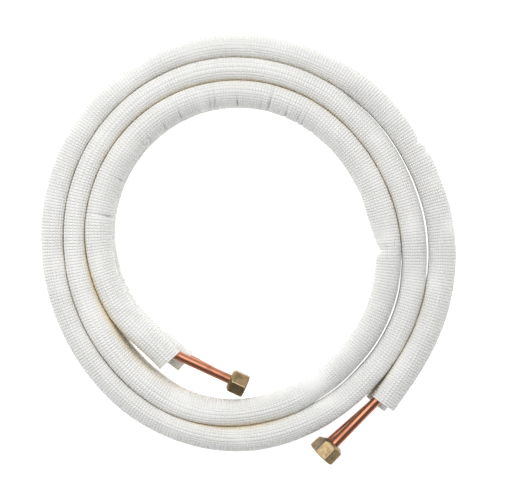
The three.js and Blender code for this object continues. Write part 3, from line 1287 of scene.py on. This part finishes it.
@dataclass(frozen=True)
class FlareNut:
    """Hexagonal brass flare nut with chamfered corners, threaded mouth and seat."""

    line: Line
    end: End
    sides: int = 96
    mouth_face: float = 0.95
    shoulder_face: float = 0.8
    mouth_slope: float = 30.0
    shoulder_slope: float = 40.0
    countersink: float = 0.5
    corner_power: float = 34.0
    edge_round: float = 0.45
    thread_height: float = 0.5
    rings_per_thread: int = 8
    rings_outside: int = 44

    HEX = 6
    RING_CROWDING = 0.75
    RIDGE_SPREAD = 3.0
    BORE_CHAMFER = 0.3

    def corner_angles(self) -> Array:
        """Return the direction of each point of a ring, measured from a corner."""
        return np.arange(self.sides) * FULL_TURN / self.sides

    def bar_radius(self) -> Array:
        """Return the radius of the hexagonal bar at each point, its corners rounded.

        Returns:
            The radius at each point of a ring.
        """
        flats = (np.arange(self.HEX) + 0.5) * FULL_TURN / self.HEX
        lean = np.maximum(cos_deg(self.corner_angles()[:, None] - flats[None, :]), 0.0)
        return self.line.nut.across / 2.0 / (lean ** self.corner_power).sum(1) ** (1.0 / self.corner_power)

    def turned_radius(self, depth: Array) -> Array:
        """Return the radius that the chamfers leave at a depth from the mouth.

        Args:
            depth: depths from the nut's mouth.

        Returns:
            The radius at each depth.
        """
        half = self.line.nut.across / 2.0
        from_mouth = self.mouth_face * half + depth / math.tan(math.radians(self.mouth_slope))
        behind = self.line.nut.length - depth
        from_shoulder = self.shoulder_face * half + behind / math.tan(math.radians(self.shoulder_slope))
        return np.minimum(from_mouth, from_shoulder)

    def outside(self) -> tuple[Array, Array, Array]:
        """Return depth, radii and wear of the rings of the outside, from mouth to shoulder.

        Returns:
            A depth for each ring, and a radius and a share of wear for each of its points.
        """
        length = self.line.nut.length
        share = np.linspace(0.0, 1.0, self.rings_outside)
        depth = length * (share - np.sin(WHOLE_CIRCLE * share) / WHOLE_CIRCLE * self.RING_CROWDING)
        bar = self.bar_radius()[None, :]
        turned = self.turned_radius(depth)[:, None]
        near = np.maximum(self.edge_round - np.abs(bar - turned), 0.0) / self.edge_round
        radii = np.minimum(bar, turned) - near ** 2 * self.edge_round / 4.0
        facet = FULL_TURN / self.HEX
        off_corner = (self.corner_angles() + facet / 2.0) % facet - facet / 2.0
        ridge = np.exp(-(off_corner / self.RIDGE_SPREAD) ** 2)[None, :] * (bar < turned)
        return depth, radii, np.maximum(near, ridge)

    def inside(self) -> tuple[Array, Array]:
        """Return depth and radii of the rings of the bore, from shoulder to mouth.

        Returns:
            A depth for each ring, and a radius for each of its points.
        """
        nut = self.line.nut
        bore = self.line.nut_bore
        cone_end = nut.thread_depth + nut.thread / 2.0 - bore
        turns = (nut.thread_depth - self.countersink) / nut.thread_pitch
        thread = np.linspace(nut.thread_depth, self.countersink, int(turns * self.rings_per_thread))
        depth = np.concatenate([[nut.length, nut.length - self.BORE_CHAMFER, cone_end], thread, [0.0]])
        threaded = np.full(len(thread), nut.thread / 2.0)
        mouth = nut.thread / 2.0 + self.countersink
        plain = np.concatenate([[bore + self.BORE_CHAMFER, bore, bore], threaded, [mouth]])
        radii = np.repeat(plain[:, None], self.sides, 1)
        wound = thread[:, None] / nut.thread_pitch - self.corner_angles()[None, :] / FULL_TURN
        groove = np.abs((wound % 1.0) * 2.0 - 1.0)
        fade = smoothstep(thread, nut.thread_depth, nut.thread_depth - 1.0)[:, None]
        radii[3:-1] += self.thread_height * groove * fade
        return depth, radii

    def build(self, origin: Array, finish: bpy.types.Material) -> bpy.types.Object:
        """Make the nut and settle it in the frame.

        Args:
            origin: place of the coil's axis in the shared frame.
            finish: material of the nut.

        Returns:
            The finished piece.
        """
        name = f"{self.line.name}_flare_nut_{self.end.value}"
        stub = self.line.stub(self.end)
        across = np.array([stub.direction[1], -stub.direction[0]])
        turn = QUARTER_TURN + self.line.nut.turn[self.end]
        angle = np.radians(self.corner_angles() + turn)[None, :]
        loft = Loft(f"{name}_brass")
        columns = np.linspace(0.0, 1.0, self.sides + 1)
        outside_depth, outside_radii, wear = self.outside()
        inside_depth, inside_radii = self.inside()
        for depth, radii, worn in ((outside_depth, outside_radii, wear),
                                   (inside_depth, inside_radii, np.zeros_like(inside_radii))):
            middles = stub.mouth[None, :] - stub.direction[None, :] * depth[:, None]
            flat = middles[:, None, :] + across[None, None, :] * (np.cos(angle) * radii)[:, :, None]
            rise = self.line.height + np.sin(angle) * radii
            worn_round = np.concatenate([worn, worn[:, :1]], 1)
            places = np.stack(np.broadcast_arrays(columns[None, :], worn_round), -1)
            loft.add(np.concatenate([flat, rise[:, :, None]], -1), places)
        piece = loft.build(origin, WEAR_MAP, (finish,), sharp_angle=32.0)
        settle(piece, name, name)
        return piece


# Studio


@dataclass(frozen=True)
class Panel:
    """A soft light panel, aimed at the middle of the coil."""

    name: str
    bearing: float
    elevation: float
    distance: float
    width: float
    height: float
    radiance: float
    colour: Colour = (1.0, 1.0, 1.0)

    def build(self) -> bpy.types.Object:
        """Return the panel's light.

        Returns:
            The light, linked to the scene.
        """
        light = bpy.data.lights.new(self.name, "AREA")
        light.shape = "RECTANGLE"
        light.size = self.width
        light.size_y = self.height
        light.energy = self.radiance * math.pi * self.width * self.height
        light.color = self.colour
        made = bpy.data.objects.new(self.name, light)
        bearing = math.radians(self.bearing)
        elevation = math.radians(self.elevation)
        away = Vector((math.cos(bearing) * math.cos(elevation), math.sin(bearing) * math.cos(elevation),
                       math.sin(elevation)))
        made.location = away * self.distance
        made.rotation_euler = away.to_track_quat("Z", "Y").to_euler()
        bpy.context.scene.collection.objects.link(made)
        return made


@dataclass(frozen=True)
class Studio:
    """White floor, soft panels, and a camera that looks straight down on the coil."""

    floor_size: float = 12.0
    dim_side: Colour = (0.26, 0.26, 0.265)
    bright_side: Colour = (1.0, 1.0, 1.0)
    panels: tuple[Panel, ...] = (
        Panel("top_panel", bearing=125.0, elevation=68.0, distance=1.5, width=1.6, height=1.3, radiance=1.95),
    )
    camera_aside: tuple[float, float] = (8.0, -4.5)
    camera_height: float = 1235.4
    view_width: float = 512.0
    focal_pixels: float = 1200.0
    sensor: float = 36.0

    def build(self, origin: Array, floor: bpy.types.Material) -> None:
        """Make the floor, the lights and the camera.

        Args:
            origin: place of the coil's axis in the shared frame.
            floor: finish of the floor.
        """
        half = self.floor_size / 2.0
        mesh = bpy.data.meshes.new("floor")
        mesh.from_pydata([(-half, -half, 0.0), (half, -half, 0.0), (half, half, 0.0), (-half, half, 0.0)],
                         [], [(0, 1, 2, 3)])
        mesh.materials.append(floor)
        ground = bpy.data.objects.new("floor", mesh)
        bpy.context.scene.collection.objects.link(ground)
        for panel in self.panels:
            panel.build()
        self.build_surround()
        self.build_camera(origin)

    def build_surround(self) -> None:
        """Make the walls of the studio bright towards +Y and dim towards -Y."""
        world = bpy.data.worlds.new("studio")
        world.use_nodes = True
        graph = Graph(world.node_tree)
        way = graph.node("ShaderNodeTexCoord", {}, {}, "Generated")
        depth = graph.node("ShaderNodeSeparateXYZ", {}, {0: way}, "Y")
        walls = graph.mix(depth.smooth(-0.25, 0.6), self.dim_side, self.bright_side)
        light = graph.node("ShaderNodeBackground", {}, {"Color": walls, "Strength": 1.0})
        graph.node("ShaderNodeOutputWorld", {}, {"Surface": light})
        bpy.context.scene.world = world

    def build_camera(self, origin: Array) -> None:
        """Place the camera straight above the coil, the top of its view towards +Y.

        Args:
            origin: place of the coil's axis in the shared frame.
        """
        data = bpy.data.cameras.new("camera")
        data.sensor_width = self.sensor
        data.lens = self.sensor * self.focal_pixels / self.view_width
        camera = bpy.data.objects.new("camera", data)
        place = (*(origin + np.array(self.camera_aside)), self.camera_height)
        camera.location = Vector(place) * METRES_PER_MM
        bpy.context.scene.collection.objects.link(camera)
        bpy.context.scene.camera = camera
        bpy.context.scene.view_settings.view_transform = "Standard"


def main() -> None:
    """Build every piece of the line set and the studio round it."""
    logging.basicConfig(level=logging.INFO, format="%(name)s: %(message)s")
    origin = frame_origin()
    LOG.info("coil axis at %.3f, %.3f mm", origin[0], origin[1])
    skin = FoamSkin().build()
    cut = FoamCut().build()
    copper = BrightCopper().build()
    brass = ForgedBrass().build()
    Jacket(LIQUID, lines_round=30, dents=LOWER_DENTS, seed=23).build(origin, skin, cut)
    Jacket(SUCTION, lines_round=34, dents=UPPER_DENTS).build(origin, skin, cut)
    for line in (LIQUID, SUCTION):
        CopperTube(line).build(origin, copper)
        for end in End:
            FlareNut(line, end).build(origin, brass)
    Studio().build(origin, PaleFloor().build())


if __name__ == "__main__":
    main()
